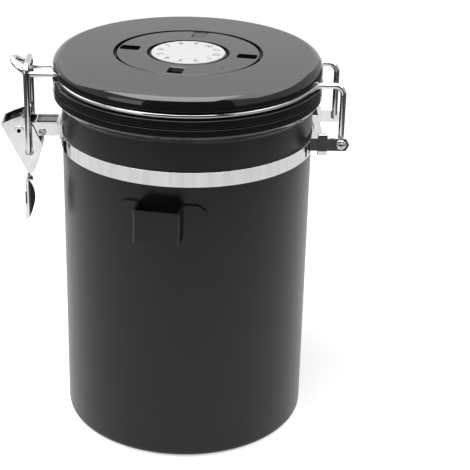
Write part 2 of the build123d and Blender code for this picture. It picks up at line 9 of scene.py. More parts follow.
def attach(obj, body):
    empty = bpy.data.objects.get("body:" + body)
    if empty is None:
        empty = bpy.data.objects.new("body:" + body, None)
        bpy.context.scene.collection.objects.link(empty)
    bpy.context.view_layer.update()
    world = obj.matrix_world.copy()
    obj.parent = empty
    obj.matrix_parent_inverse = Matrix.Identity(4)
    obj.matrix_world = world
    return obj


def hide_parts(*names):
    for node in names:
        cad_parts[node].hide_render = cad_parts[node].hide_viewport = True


MM = 0.001
STEPS_ROUND = 192  # facets of a turned piece
WIRE_SIDES = 28  # facets round a wire
SMALL_SIDES = 24  # facets of a screw or a pip
ARC_STEPS = 24  # facets of a large bend
SHARP = math.radians(32)  # edges sharper than this are shaded as edges
FLAT = math.radians(1)  # edges flatter than this only divide a flat face
FIT = 0.05  # mm between two pieces that sit in one another
NEAR = 0.05  # mm, within which a face or a corner is at a height

# Camera, the photograph's, for its frame of 470 pixels. Metres and radians.
FRAME_PIXELS = 470
FOCAL_PIXELS = 1399.0
SENSOR = 36.0  # mm
CAMERA_PLACE = (0, -0.635613, 0.387237)
CAMERA_PITCH = 0.4335  # down
CAMERA_PAN = 0.0383  # to the right
CAMERA_ROLL = 0.0269


def new_object(name, data):
    """An object in the scene that holds the data."""
    made = bpy.data.objects.new(name, data)
    bpy.context.scene.collection.objects.link(made)
    return made


def set_camera():
    data = bpy.data.cameras.new("camera")
    data.sensor_width = SENSOR
    data.lens = FOCAL_PIXELS / FRAME_PIXELS * SENSOR
    data.clip_start = 0.01
    camera = new_object("camera", data)
    turn = Matrix.Rotation(-CAMERA_PAN, 4, "Z")
    turn = turn @ Matrix.Rotation(math.pi / 2 - CAMERA_PITCH, 4, "X")
    turn = turn @ Matrix.Rotation(CAMERA_ROLL, 4, "Z")
    camera.matrix_world = Matrix.Translation(CAMERA_PLACE) @ turn
    bpy.context.scene.camera = camera


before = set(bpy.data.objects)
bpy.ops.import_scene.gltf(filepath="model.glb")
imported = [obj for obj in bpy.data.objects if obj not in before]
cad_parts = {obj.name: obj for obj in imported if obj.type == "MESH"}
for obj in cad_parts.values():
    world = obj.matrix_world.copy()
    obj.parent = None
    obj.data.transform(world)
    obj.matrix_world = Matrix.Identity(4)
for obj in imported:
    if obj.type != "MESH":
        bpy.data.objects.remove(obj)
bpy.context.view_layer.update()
set_camera()

# Sizes, in millimetres, those of the part's source. Where the photograph asked for a little less
# or more, the scene's own size is used: skirt 180.4 for 181.0, lid wire's ring 61.0 for 61.2,
# pocket 35.3 for 35.2, date ring 33.8 for 34.1 and its lip 184.6 for 185.7.
BODY_R, BODY_WALL, BASE_CORNER, BASE_LIP = 60.0, 0.8, 3.6, 4.4
DISH_R, DISH_RUN, DISH = 30.0, 1.2, 0.4  # the pressed middle of the base plate
MOUTH, COLLAR_H, COLLAR_ROOF, COLLAR_LIP = 172.0, 7.6, 1.1, 4.0
COLLAR_WALL, COLLAR_FOOT, COLLAR_FLARE = 0.7, 0.6, 4.2
BAND_LOW, BAND_TOP, BAND_IN, BAND_OUT = 144.0, 151.0, 60.05, 61.05
BAND_SLOT_LOW, BAND_SLOT_TOP, BAND_SLOT_HALF, BAND_SLOT_STEP = 145.2, 149.8, 1.1, 4.8
HINGE_SLOTS, LATCH_SLOTS = 21.7, 13.0  # degrees beside the hinge and the latch
HOLDER_LOW, HOLDER_TOP, HOLDER_WALL, HOLDER_OUT = 119.7, 135.2, 1.2, 70.4
HOLDER_BOX_HALF, HOLDER_REACH, HOLDER_END_R, HOLDER_EDGE = 10.7, 22.2, 7.0, 0.45
HOLDER_TURN, HOLDER_SHARP = math.radians(-90 - 11.3), math.radians(50)
LID_R, LID_TOP, LID_WALL, SHOULDER_RUN, SHOULDER_DROP = 64.0, 188.0, 2.2, 5.6, 6.4
SKIRT, SKIRT_RIM, FLANGE_LOW, FLANGE_TOP = 180.4, 1.5, 172.7, 176.3
PLUG_R, PLUG_WALL, PLUG_DEPTH, VALVE_OPENING = 54.0, 1.8, 3.0, 9.0
GASKET_IN, GASKET_OUT, GASKET_LOW, GASKET_TOP = 56.5, 62.0, 172.3, 174.2
LID_NECK_TOP = 183.2
WIRE_R, RING_R = 1.4, 61.0
RING_Z = FLANGE_TOP + WIRE_R + FIT
POCKET_R, POCKET_DEPTH, POCKET_FLOOR, POCKET_WALL, HUB_BORE = 35.3, 4.5, 1.8, 2.0, 4.05
HINGE_X, HINGE_Z, EAR_OUT, LEG_Y = 72.6, 149.5, 20.0, 16.9
PIVOT_X, PIVOT_Z, PIVOT_BORE = -80.2, 150.0, 1.1
BAIL_X, BAIL_FOOT_Z, BAIL_HALF, BAIL_END = -75.6, 139.4, 9.8, 5.1
BAIL_TOP_Z = RING_Z + 2 * WIRE_R + 1.7
DIAL_R, DIAL_TOP, DIAL_THICK = 17.4, 187.8, 0.6
DATE_RING_R, DATE_RING_TOP, DATE_WELL, DATE_BORE = 33.8, 187.8, 19.5, 12.65
DATE_RING_LOW, DATE_LIP_TOP = 183.8, 184.6
SCREW_CIRCLE, SCREW_HEAD, SCREW_LENGTH = 46.0, 1.5, 9.0


# Node trees


def add(tree, kind, inputs=None, **settings):
    """Adds a node. inputs maps socket names or numbers to a value or another node's socket."""
    made = tree.nodes.new(kind)
    for name, value in settings.items():
        setattr(made, name, value)
    for name, value in (inputs or {}).items():
        if isinstance(value, bpy.types.NodeSocket):
            tree.links.new(value, made.inputs[name])
        else:
            made.inputs[name].default_value = value
    return made


def empty_tree(owner):
    """The node tree of a material or a world, with nothing in it."""
    owner.use_nodes = True
    owner.node_tree.nodes.clear()
    return owner.node_tree


def linear(code, alpha=1.0):
    """sRGB hex to linear colour."""
    parts = [int(code[i : i + 2], 16) / 255 for i in (1, 3, 5)]
    return [c / 12.92 if c <= 0.04045 else ((c + 0.055) / 1.055) ** 2.4 for c in parts] + [alpha]


# Finishes

NOISE_LOW, NOISE_HIGH = 0.3, 0.7  # where nearly all of a noise pattern lies
GRAIN_SLOPE = 0.02  # how much a grain line changes along its length, for 1 across


def finish(name, colour, roughness, relief=None, **constants):
    """A material. colour and roughness are two ends and the pattern that goes between them;
    relief is a depth in mm and the pattern of its heights."""
    made = bpy.data.materials.new(name)
    tree = empty_tree(made)
    place = add(tree, "ShaderNodeTexCoord").outputs["Object"]
    levels = []
    for low, high, pattern in ((0.0, 1.0, colour[2]), roughness):
        spread = {"Value": pattern(tree, place), "From Min": NOISE_LOW, "From Max": NOISE_HIGH}
        spread.update({"To Min": low, "To Max": high})
        levels.append(add(tree, "ShaderNodeMapRange", spread).outputs["Result"])
    shades = {0: levels[0], 6: linear(colour[0]), 7: linear(colour[1])}
    mixed = add(tree, "ShaderNodeMix", shades, data_type="RGBA")
    inputs = {"Base Color": mixed.outputs[2], "Roughness": levels[1]}
    if relief:
        depth, pattern = relief
        heights = {"Height": pattern(tree, place), "Distance": depth * MM, "Strength": 1.0}
        inputs["Normal"] = add(tree, "ShaderNodeBump", heights).outputs["Normal"]
    inputs.update({key.replace("_", " "): value for key, value in constants.items()})
    shader = add(tree, "ShaderNodeBsdfPrincipled", inputs)
    add(tree, "ShaderNodeOutputMaterial", {"Surface": shader.outputs["BSDF"]})
    return made


def speckle(size, detail=2.0, stretch=(1, 1, 1)):
    """A pattern of spots size mm wide, drawn out along an axis where its stretch is small."""

    def pattern(tree, place):
        moved = add(tree, "ShaderNodeMapping", {"Vector": place, "Scale": stretch})
        spots = {"Vector": moved.outputs["Vector"], "Scale": 1 / (size * MM), "Detail": detail}
        return add(tree, "ShaderNodeTexNoise", spots).outputs["Fac"]

    return pattern


def upright_grain(size):
    """A pattern of lines size mm wide on the neck band, that changes with the angle round it
    and hardly with the height."""

    def pattern(tree, place):
        parts = add(tree, "ShaderNodeSeparateXYZ", {"Vector": place}).outputs
        angle = add(tree, "ShaderNodeMath", {0: parts["Y"], 1: parts["X"]}, operation="ARCTAN2")
        round_it = {0: angle.outputs[0], 1: BAND_OUT * MM}
        arc = add(tree, "ShaderNodeMath", round_it, operation="MULTIPLY")
        along = {0: parts["Z"], 1: GRAIN_SLOPE}
        slow = add(tree, "ShaderNodeMath", along, operation="MULTIPLY")
        line = add(tree, "ShaderNodeCombineXYZ", {"X": arc.outputs[0], "Z": slow.outputs[0]})
        grain = {"Vector": line.outputs[0], "Scale": 1 / (size * MM), "Detail": 3.0}
        return add(tree, "ShaderNodeTexNoise", grain).outputs["Fac"]

    return pattern


# Matt powder coat, sprayed and baked on steel: a very fine pebbled skin, dark grey in the light.
POWDER_COAT = finish(
    "matt_black_powder_coat",
    colour=("#0a0a0a", "#0c0c0c", speckle(6.0)),
    roughness=(0.29, 0.35, speckle(1.2)),
    relief=(0.015, speckle(0.7, 3.0)),
    IOR=1.38,
)
# Bare rolled stainless inside the canister, satin with faint rings.
BARE_STEEL = finish(
    "satin_rolled_stainless",
    colour=("#b4b4b4", "#c2c2c2", speckle(9.0)),
    roughness=(0.26, 0.38, speckle(1.0, stretch=(1, 1, 12))),
    relief=(0.01, speckle(0.8, stretch=(1, 1, 12))),
    Metallic=1.0,
)
# Injection-moulded ABS from a polished mould: deep black, sharp reflections, a slight waviness.
GLOSS_ABS = finish(
    "gloss_black_moulded_abs",
    colour=("#131313", "#151515", speckle(15.0)),
    roughness=(0.05, 0.09, speckle(3.0)),
    relief=(0.02, speckle(18.0, 1.0)),
    IOR=1.5,
)
# The same moulding's hidden sides, from an unpolished mould face: matt.
SATIN_ABS = finish(
    "satin_black_moulded_abs",
    colour=("#0c0c0c", "#101010", speckle(8.0)),
    roughness=(0.34, 0.44, speckle(2.0)),
    relief=(0.01, speckle(0.5)),
)
# Chrome-plated drawn steel wire: mirrors its surroundings, with faint drawing marks.
CHROME = finish(
    "chrome_plated_wire",
    colour=("#bebebe", "#c8c8c8", speckle(5.0)),
    roughness=(0.05, 0.10, speckle(2.0)),
    relief=(0.004, speckle(1.5, 1.0)),
    Metallic=1.0,
)
# Stainless strap, brushed across its length, so that its lines stand upright.
BRUSHED_BAND = finish(
    "brushed_stainless_strap",
    colour=("#b8b8b8", "#c4c4c4", upright_grain(4.0)),
    roughness=(0.06, 0.10, upright_grain(0.8)),
    relief=(0.01, upright_grain(6.0)),
    Metallic=1.0,
)
# Pressed and tumbled stainless of the lever and brackets: bright, with soft scratches.
PRESSED_STEEL = finish(
    "tumbled_pressed_stainless",
    colour=("#c6c6c6", "#d2d2d2", speckle(4.0)),
    roughness=(0.05, 0.09, speckle(0.8, 3.0, (1, 1, 0.3))),
    relief=(0.006, speckle(5.0)),
    Metallic=1.0,
)
# Peened rivet steel: rough where the hammer closed it.
RIVET_STEEL = finish(
    "peened_rivet_steel",
    colour=("#8f8f8f", "#b4b4b4", speckle(0.8)),
    roughness=(0.12, 0.28, speckle(0.7)),
    relief=(0.3, speckle(1.6)),
    Metallic=1.0,
)
# Wire hammered over at its ends: bright facets between deep dents.
HAMMERED_STEEL = finish(
    "hammered_wire_end",
    colour=("#b0b0b0", "#d0d0d0", speckle(0.8)),
    roughness=(0.05, 0.12, speckle(0.7)),
    relief=(0.9, speckle(1.3, 1.0)),
    Metallic=1.0,
)
# Painted shade: a dark matt coat on the hollow rivet's bore, standing in for the shadow inside the
# hole.
RIVET_BORE_PAINTED_SHADE = finish(
    "painted_shade_rivet_bore",
    colour=("#0e0e0e", "#161616", speckle(0.8)),
    roughness=(0.4, 0.5, speckle(0.7)),
)
# White moulded ABS disc, even and slightly matt.
WHITE_DIAL = finish(
    "matt_white_moulded_dial",
    colour=("#e6e6e6", "#ebebeb", speckle(5.0)),
    roughness=(0.40, 0.48, speckle(1.0)),
    relief=(0.004, speckle(0.8)),
)
# Pad-printed ink of the dial's numbers, thin and dull.
PRINT_INK = finish(
    "grey_pad_printing_ink",
    colour=("#4c4c4c", "#5c5c5c", speckle(0.6)),
    roughness=(0.5, 0.6, speckle(0.5)),
)
# Silicone gasket, soft black with a dull bloom.
GASKET = finish(
    "black_silicone_rubber",
    colour=("#232323", "#2c2c2c", speckle(3.0)),
    roughness=(0.55, 0.68, speckle(1.0)),
    relief=(0.02, speckle(0.6)),
)
# Needled white filter felt, with loose fibres.
FELT = finish(
    "white_needled_felt",
    colour=("#cbc9c2", "#e4e2dc", speckle(0.8, 5.0)),
    roughness=(0.88, 0.98, speckle(0.5)),
    relief=(0.25, speckle(0.35, 5.0, (1, 1, 0.4))),
    Sheen_Weight=0.3,
)


# Geometry trees


def new_tree(name, **sockets):
    """A geometry tree with a mesh or curve input, inputs of the given kinds and one output."""
    tree = bpy.data.node_groups.new(name, "GeometryNodeTree")
    tree.interface.new_socket("Geometry", in_out="INPUT", socket_type="NodeSocketGeometry")
    for label, kind in {**sockets, "finish": "Material"}.items():
        tree.interface.new_socket(label, in_out="INPUT", socket_type="NodeSocket" + kind)
    tree.interface.new_socket("Geometry", in_out="OUTPUT", socket_type="NodeSocketGeometry")
    return tree, tree.nodes.new("NodeGroupInput").outputs


def close_tree(tree, geometry, given):
    real = add(tree, "GeometryNodeRealizeInstances", {"Geometry": geometry})
    inputs = {"Geometry": real.outputs[0], "Material": given["finish"]}
    coated = add(tree, "GeometryNodeSetMaterial", inputs)
    add(tree, "NodeGroupOutput", {"Geometry": coated.outputs[0]})
    return tree


def turning_tree():
    """Sweeps an outline round the Z axis."""
    tree, given = new_tree("turned_piece", steps_round="Int", path_radius="Float")
    inputs = {"Resolution": given["steps_round"], "Radius": given["path_radius"]}
    path = add(tree, "GeometryNodeCurvePrimitiveCircle", inputs)
    inputs = {"Curve": path.outputs["Curve"]}
    upright = add(tree, "GeometryNodeSetCurveNormal", inputs, mode="Z_UP")
    inputs = {"Curve": upright.outputs["Curve"], "Profile Curve": given["Geometry"]}
    swept = add(tree, "GeometryNodeCurveToMesh", inputs)
    inputs = {"Geometry": swept.outputs["Mesh"], "Distance": 0.01 * MM}
    joined = add(tree, "GeometryNodeMergeByDistance", inputs)
    return close_tree(tree, joined.outputs["Geometry"], given)


def wire_tree():
    """Round wire along a path."""
    tree, given = new_tree("bent_wire", wire_radius="Float", sides="Int")
    inputs = {"Resolution": given["sides"], "Radius": given["wire_radius"]}
    section = add(tree, "GeometryNodeCurvePrimitiveCircle", inputs).outputs["Curve"]
    inputs = {"Curve": given["Geometry"], "Profile Curve": section, "Fill Caps": True}
    swept = add(tree, "GeometryNodeCurveToMesh", inputs)
    return close_tree(tree, swept.outputs["Mesh"], given)


def circle_tree():
    """Copies of a shape at equal steps round the Z axis."""
    tree, given = new_tree("set_round_the_axis", count="Int", first_angle="Float", step="Float")
    inputs = {"Count": given["count"], "Offset": (0, 0, 0)}
    points = add(tree, "GeometryNodeMeshLine", inputs, mode="OFFSET")
    index = add(tree, "GeometryNodeInputIndex").outputs[0]
    inputs = {0: index, 1: given["step"], 2: given["first_angle"]}
    turn = add(tree, "ShaderNodeMath", inputs, operation="MULTIPLY_ADD")
    angles = add(tree, "ShaderNodeCombineXYZ", {"Z": turn.outputs[0]})
    inputs = {"Points": points.outputs["Mesh"], "Instance": given["Geometry"]}
    inputs["Rotation"] = angles.outputs[0]
    placed = add(tree, "GeometryNodeInstanceOnPoints", inputs)
    return close_tree(tree, placed.outputs["Instances"], given)


TURNING, WIRE, CIRCLE = turning_tree(), wire_tree(), circle_tree()


def evaluated_mesh(made):
    """The object's mesh with its modifiers applied."""
    bpy.context.view_layer.update()
    depsgraph = bpy.context.evaluated_depsgraph_get()
    return bpy.data.meshes.new_from_object(made.evaluated_get(depsgraph))


def grown(name, source, tree, **values):
    """Runs a tree on an object's data and gives the result as a plain mesh object."""
    seed = new_object("seed_" + name, source)
    modifier = seed.modifiers.new("tree", "NODES")
    modifier.node_group = tree
    for item in tree.interface.items_tree:
        if item.in_out == "INPUT" and item.name in values:
            modifier[item.identifier] = values[item.name]
    mesh = evaluated_mesh(seed)
    seed.modifiers.clear()
    bpy.data.objects.remove(seed)
    return new_object(name, mesh)


# Mesh helpers


def tidy(mesh, merge=0.001):
    """Merges doubles and points every face outwards."""
    work = bmesh.new()
    work.from_mesh(mesh)
    bmesh.ops.remove_doubles(work, verts=work.verts, dist=merge * MM)
    bmesh.ops.dissolve_degenerate(work, edges=work.edges, dist=merge * MM)
    bmesh.ops.recalc_face_normals(work, faces=work.faces)
    work.to_mesh(mesh)
    work.free()
    mesh.shade_smooth()
    mesh.set_sharp_from_angle(angle=SHARP)
    mesh.update()


def with_modifier(made, kind, **settings):
    """Applies one modifier and keeps the result as a plain mesh."""
    modifier = made.modifiers.new(kind.lower(), kind)
    for name, value in settings.items():
        setattr(modifier, name, value)
    mesh = evaluated_mesh(made)
    made.modifiers.clear()
    made.data = mesh


def break_edges(made, width, sharper_than=SHARP):
    with_modifier(
        made, "BEVEL", width=width * MM, segments=2, limit_method="ANGLE",
        angle_limit=sharper_than,
    )
    tidy(made.data)


def place_piece(made, body, slot, *nodes):
    """Attaches a finished piece to its body and hides the CAD nodes it replaces. Weighted normals
    keep its flat faces flat beside their broken edges."""
    with_modifier(made, "WEIGHTED_NORMAL", keep_sharp=True)
    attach(made, body)
    if nodes:
        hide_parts(*nodes)


def circle(count):
    """Cosines and sines of equal steps round a circle."""
    turns = [2 * math.pi * k / count for k in range(count)]
    return [(math.cos(a), math.sin(a)) for a in turns]


def vertices(work, points):
    return [work.verts.new([c * MM for c in point]) for point in points]


def skin(work, loops):
    """Faces from loop to loop of vertices, and over the first and the last."""
    for a, b in zip(loops, loops[1:]):
        for k in range(len(a)):
            j = (k + 1) % len(a)
            work.faces.new((a[k], a[j], b[j], b[k]))
    work.faces.new(loops[0][::-1])
    work.faces.new(loops[-1])


def small_turned(work, x, y, profile):
    """A small turned shape about the upright line at (x, y), from pairs of (radius, height)."""
    loops = []
    for radius, height in profile:
        edge = [(x + radius * c, y + radius * s, height) for c, s in circle(SMALL_SIDES)]
        loops.append(vertices(work, edge))
    skin(work, loops)


def mesh_of(work, name):
    mesh = bpy.data.meshes.new(name)
    work.to_mesh(mesh)
    work.free()
    return mesh


def piece_of(work, name, coat, merge=0.001):
    """A tidy object of one finish."""
    made = new_object(name, mesh_of(work, name))
    made.data.materials.append(coat)
    tidy(made.data, merge)
    return made


def rounded(points, radii, closed=True, steps=6):
    """A line of 2-D or 3-D points with its corners rounded to the given radii."""
    count = len(points)
    out = []
    for i, (point, radius) in enumerate(zip(points, radii)):
        here = Vector(point)
        if radius <= 0 or (not closed and i in (0, count - 1)):
            out.append(here)
            continue
        back = Vector(points[i - 1]) - here
        ahead = Vector(points[(i + 1) % count]) - here
        half = back.angle(ahead) / 2
        reach = radius / math.tan(half)
        back.normalize()
        ahead.normalize()
        centre = here + (back + ahead).normalized() * (radius / math.sin(half))
        start, stop = here + back * reach - centre, here + ahead * reach - centre
        sweep = start.angle(stop)
        for k in range(steps + 1):
            share = k / steps
            spread = start * math.sin((1 - share) * sweep) + stop * math.sin(share * sweep)
            out.append(centre + spread / math.sin(sweep))
    return out


def line_curve(name, points, closed):
    curve = bpy.data.curves.new(name, "CURVE")
    curve.dimensions = "3D"
    spline = curve.splines.new("POLY")
    spline.points.add(len(points) - 1)
    for target, point in zip(spline.points, points):
        target.co = (*[c * MM for c in point], 1)
    spline.use_cyclic_u = closed
    return curve


def turned(name, outline, coat):
    """A turned piece from a closed outline in mm, of (radius, height, radius of the corner)."""
    path = 1.0  # radius of the circle that the outline is swept along
    corners = [point[2] if len(point) > 2 else 0 for point in outline]
    line = [(r - path, -z, 0) for r, z in rounded([point[:2] for point in outline], corners)]
    made = grown(
        name, line_curve(name, line, True), TURNING,
        steps_round=STEPS_ROUND, path_radius=path * MM, finish=coat,
    )
    tidy(made.data)
    return made


def bent_wire(name, points, coat):
    made = grown(
        name, line_curve(name, points, False), WIRE,
        wire_radius=WIRE_R * MM, sides=WIRE_SIDES, finish=coat,
    )
    tidy(made.data)
    return made


def two_finishes(made, second, test):
    """Gives the faces that pass the test of centre, in mm, and normal a second finish."""
    made.data.materials.append(second)
    for face in made.data.polygons:
        if test(face.center / MM, face.normal):
            face.material_index = 1


def off_axis(centre):
    return math.hypot(centre.x, centre.y)


def block(name, x, y, z, corner):
    """An upright block with round corners, in mm, as a mesh to cut with."""
    corners = [(x[0], y[0]), (x[1], y[0]), (x[1], y[1]), (x[0], y[1])]
    ring = rounded(corners, [corner] * 4, True, 5)
    work = bmesh.new()
    skin(work, [vertices(work, [(*point, height) for point in ring]) for height in z])
    return mesh_of(work, name)


def cut(made, tools):
    """Cuts shapes out of a piece; the tools are removed."""
    for tool in tools:
        with_modifier(made, "BOOLEAN", operation="DIFFERENCE", object=tool, solver="EXACT")
        bpy.data.objects.remove(tool)
    tidy(made.data)


def from_solid(node, name, coat, bevel, reshape=None):
    """A pressed or moulded piece made from its CAD solid: merged, reshaped, its edges broken."""
    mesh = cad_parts[node].data.copy()
    mesh.materials.clear()
    mesh.materials.append(coat)
    made = new_object(name, mesh)
    tidy(mesh)
    work = bmesh.new()
    work.from_mesh(mesh)
    inner = [edge for edge in work.edges if len(edge.link_faces) == 2]
    flat = [edge for edge in inner if edge.calc_face_angle(0) < FLAT]
    bmesh.ops.dissolve_edges(work, edges=flat, use_verts=False)
    if reshape:
        reshape(work)
    work.to_mesh(mesh)
    work.free()
    break_edges(made, bevel)
    return made


# Canister

lip_in = BODY_R - BASE_CORNER - BASE_LIP
outline = [
    (lip_in, 0, 0.2),
    (BODY_R, 0, BASE_CORNER),
    (BODY_R, MOUTH - COLLAR_ROOF, 0.2),
    (BODY_R - BODY_WALL, MOUTH - COLLAR_ROOF, 0.2),
    (BODY_R - BODY_WALL, BODY_WALL, BASE_CORNER - BODY_WALL),
    (lip_in, BODY_WALL, 0.2),
]
shell = turned("shell_drawn_steel", outline, POWDER_COAT)
two_finishes(
    shell, BARE_STEEL, lambda c, n: off_axis(c) < BODY_R - BODY_WALL / 2 and c.z > BODY_WALL * 0.9
)
place_piece(shell, "canister", "matte_black_paint", "canister_shell")

outline = [
    (0, DISH),
    (DISH_R, DISH, DISH_RUN),
    (DISH_R + DISH_RUN, 0, DISH_RUN),
    (lip_in - FIT, 0, 0.25),
    (lip_in - FIT, BODY_WALL, 0.1),
    (BODY_R - BASE_CORNER - FIT, BODY_WALL, 0.1),
    (BODY_R - BASE_CORNER - FIT, 2 * BODY_WALL, 0.2),
    (0, 2 * BODY_WALL),
]
plate = turned("base_plate_pressed", outline, POWDER_COAT)
two_finishes(plate, BARE_STEEL, lambda c, n: n.z > 0.5)
place_piece(plate, "canister", "brushed_steel", "base_plate")

collar_in = BODY_R - BODY_WALL - FIT - COLLAR_WALL
outline = [
    (BODY_R + FIT, MOUTH - COLLAR_H),
    (BODY_R + FIT + COLLAR_FOOT, MOUTH - COLLAR_H, 0.3),
    (LID_R, MOUTH - COLLAR_H + COLLAR_FLARE, 0.9),
    (LID_R, MOUTH, 0.15),
    (collar_in, MOUTH, 0.4),
    (collar_in, MOUTH - COLLAR_ROOF - COLLAR_LIP, 0.2),
    (collar_in + COLLAR_WALL, MOUTH - COLLAR_ROOF - COLLAR_LIP),
    (collar_in + COLLAR_WALL, MOUTH - COLLAR_ROOF),
    (BODY_R + FIT, MOUTH - COLLAR_ROOF),
]
collar = turned("mouth_collar_moulded", outline, GLOSS_ABS)
place_piece(collar, "canister", "black_moulding", "mouth_collar")

# Neck strap with its pairs of slots
outline = [
    (BAND_IN, BAND_LOW, 0.2),
    (BAND_OUT, BAND_LOW, 0.12),
    (BAND_OUT, BAND_TOP, 0.12),
    (BAND_IN, BAND_TOP, 0.2),
]
band = turned("neck_band_strap", outline, BRUSHED_BAND)
slot_across, slot_up = (-BAND_SLOT_HALF, BAND_SLOT_HALF), (BAND_SLOT_LOW, BAND_SLOT_TOP)
slot_block = block("band_slot", (BAND_IN - 1, BAND_OUT + 1), slot_across, slot_up, 0.3)
slot_step = BAND_SLOT_STEP / BAND_OUT
slot_pairs = (-HINGE_SLOTS, HINGE_SLOTS, 180 - LATCH_SLOTS, 180 + LATCH_SLOTS)
slots = [
    grown(
        f"slots_{index}", slot_block.copy(), CIRCLE, count=2,
        first_angle=math.radians(angle) - slot_step / 2, step=slot_step, finish=BRUSHED_BAND,
    )
    for index, angle in enumerate(slot_pairs)
]
cut(band, slots)
place_piece(band, "canister", "chrome", "neck_band")


def omega_strap():
    """The scoop holder: a strip bent from wing to box to wing, with round ends, given its wall."""
    across, bend, least_half = 14, 1.0, 0.8
    middle_r = BODY_R + FIT + HOLDER_WALL / 2
    span = HOLDER_REACH / (BODY_R + FIT + HOLDER_WALL)
    side_y = HOLDER_BOX_HALF - HOLDER_WALL / 2
    front_x = HOLDER_OUT - HOLDER_WALL / 2
    root = math.asin(side_y / middle_r)
    angles = [-span + (span - root) * k / ARC_STEPS for k in range(ARC_STEPS + 1)]
    wing = [(middle_r * math.cos(a), middle_r * math.sin(a)) for a in angles]
    other = [(x, -y) for x, y in reversed(wing)]
    front = [(front_x, -side_y), (front_x, side_y)]
    box = [wing[-4], wing[-1], *front, (wing[-1][0], side_y), other[3]]
    bends = rounded(box, [0, bend, bend, bend, bend, 0], False, 8)[1:-1]
    line = [Vector(point) for point in (*wing[:-3], *bends, *other[3:])]
    lengths = [0.0]
    for a, b in zip(line, line[1:]):
        lengths.append(lengths[-1] + (b - a).length)
    half_high, middle_z = (HOLDER_TOP - HOLDER_LOW) / 2, (HOLDER_TOP + HOLDER_LOW) / 2
    work = bmesh.new()
    rows = []
    for point, place in zip(line, lengths):
        inset = max(0.0, HOLDER_END_R - min(place, lengths[-1] - place))
        trim = HOLDER_END_R - math.sqrt(max(0.0, HOLDER_END_R**2 - inset**2))
        half = half_high - min(trim, half_high - least_half)
        heights = [middle_z + half * (2 * k / across - 1) for k in range(across + 1)]
        rows.append(vertices(work, [(*point, height) for height in heights]))
    for a, b in zip(rows, rows[1:]):
        for k in range(across):
            work.faces.new((a[k], b[k], b[k + 1], a[k + 1]))
    turn = Matrix.Rotation(HOLDER_TURN, 3, "Z")
    bmesh.ops.rotate(work, verts=work.verts, matrix=turn)
    made = new_object("scoop_holder_strap", mesh_of(work, "holder"))
    made.data.materials.append(POWDER_COAT)
    with_modifier(made, "SOLIDIFY", thickness=HOLDER_WALL * MM, offset=0.0, use_even_offset=True)
    break_edges(made, HOLDER_EDGE, HOLDER_SHARP)
    return made


place_piece(omega_strap(), "canister", "matte_black_paint", "scoop_holder")

# Hinge and latch brackets

ARM_LEAN = math.tan(math.radians(5))
CLIP_FLAP_Z, CLIP_FLAP_LEAN = HINGE_Z - 3.05, math.tan(math.radians(32))  # the arm's lower edge


def lean_in(work):
    """The hinge's arms lean in at the top, as their dark faces in the photograph show."""
    for vertex in work.verts:
        rise = vertex.co.z - HINGE_Z * MM
        vertex.co.y *= 1 - rise * ARM_LEAN / (EAR_OUT * MM)


def lean_in_with_flap(work):
    """Below the arm the clips fold inwards, so that they show the white table."""
    parts = [*work.verts, *work.edges, *work.faces]
    edge = (0, 0, CLIP_FLAP_Z * MM)
    bmesh.ops.bisect_plane(work, geom=parts, plane_co=edge, plane_no=(0, 0, 1))
    lean_in(work)
    for vertex in work.verts:
        drop = max(0.0, CLIP_FLAP_Z * MM - vertex.co.z)
        vertex.co.y -= math.copysign(drop * (ARM_LEAN + CLIP_FLAP_LEAN), vertex.co.y)


CHANNEL_TOP, CHANNEL_SHEET, CHANNEL_SUNK = 153.6, 1.0, 3.4
WEB_HALF, LUG_IN, TROUGH_BACK, TROUGH_FRONT = 5.5, 5.6, -72.1, -62.4


def sink_web(work):
    """The channel's web lies low between its lugs: the dark trough in the photograph."""

    def top_faces():
        level = (CHANNEL_TOP - NEAR) * MM
        return [face for face in work.faces if face.calc_center_median().z > level]

    underside = (CHANNEL_TOP - CHANNEL_SHEET) * MM
    for vertex in work.verts:
        if abs(vertex.co.y) < WEB_HALF * MM and abs(vertex.co.z - underside) < NEAR * MM:
            vertex.co.z -= CHANNEL_SUNK * MM
    planes = [((0, y * MM, 0), (0, 1, 0)) for y in (-LUG_IN, LUG_IN)]
    planes += [((x * MM, 0, 0), (1, 0, 0)) for x in (TROUGH_BACK, TROUGH_FRONT)]
    for place, normal in planes:
        faces = top_faces()
        rims = [part for face in faces for part in (*face.edges, *face.verts)]
        parts = [*faces, *dict.fromkeys(rims)]
        bmesh.ops.bisect_plane(work, geom=parts, plane_co=place, plane_no=normal)
    inside = []
    for face in top_faces():
        middle = face.calc_center_median() / MM
        if abs(middle.y) < LUG_IN and TROUGH_BACK < middle.x < TROUGH_FRONT:
            inside.append(face)
    sunk = bmesh.ops.extrude_face_region(work, geom=inside)["geom"]
    bmesh.ops.delete(work, geom=inside, context="FACES")
    for part in sunk:
        if isinstance(part, bmesh.types.BMVert):
            part.co.z -= CHANNEL_SUNK * MM


for node, name, coat, bevel, reshape in (
    ("hinge_bracket", "hinge_yoke_pressed", PRESSED_STEEL, 0.2, lean_in),
    ("hinge_sleeves", "hinge_clips_folded", PRESSED_STEEL, 0.2, lean_in_with_flap),
    ("latch_foot", "latch_foot_pressed", PRESSED_STEEL, 0.15, None),
    ("latch_bracket", "latch_channel_pressed", PRESSED_STEEL, 0.2, sink_web),
    ("latch_bracket_rivet", "latch_channel_rivet", RIVET_STEEL, 0.25, None),
):
    place_piece(from_solid(node, name, coat, bevel, reshape), "canister", "chrome", node)

# Latch lever, rivet and bail

BAIL_HOLE_EDGE, BAIL_HOLE_WIDER = 1.8, 1.42  # radius that holds the hole's edge, and its growth
TAB_TOP, TAB_BACK, TAB_SHIFT, TAB_FLATTER, TAB_TURN = 121.6, -78.6, 0.3, 0.55, math.radians(10)


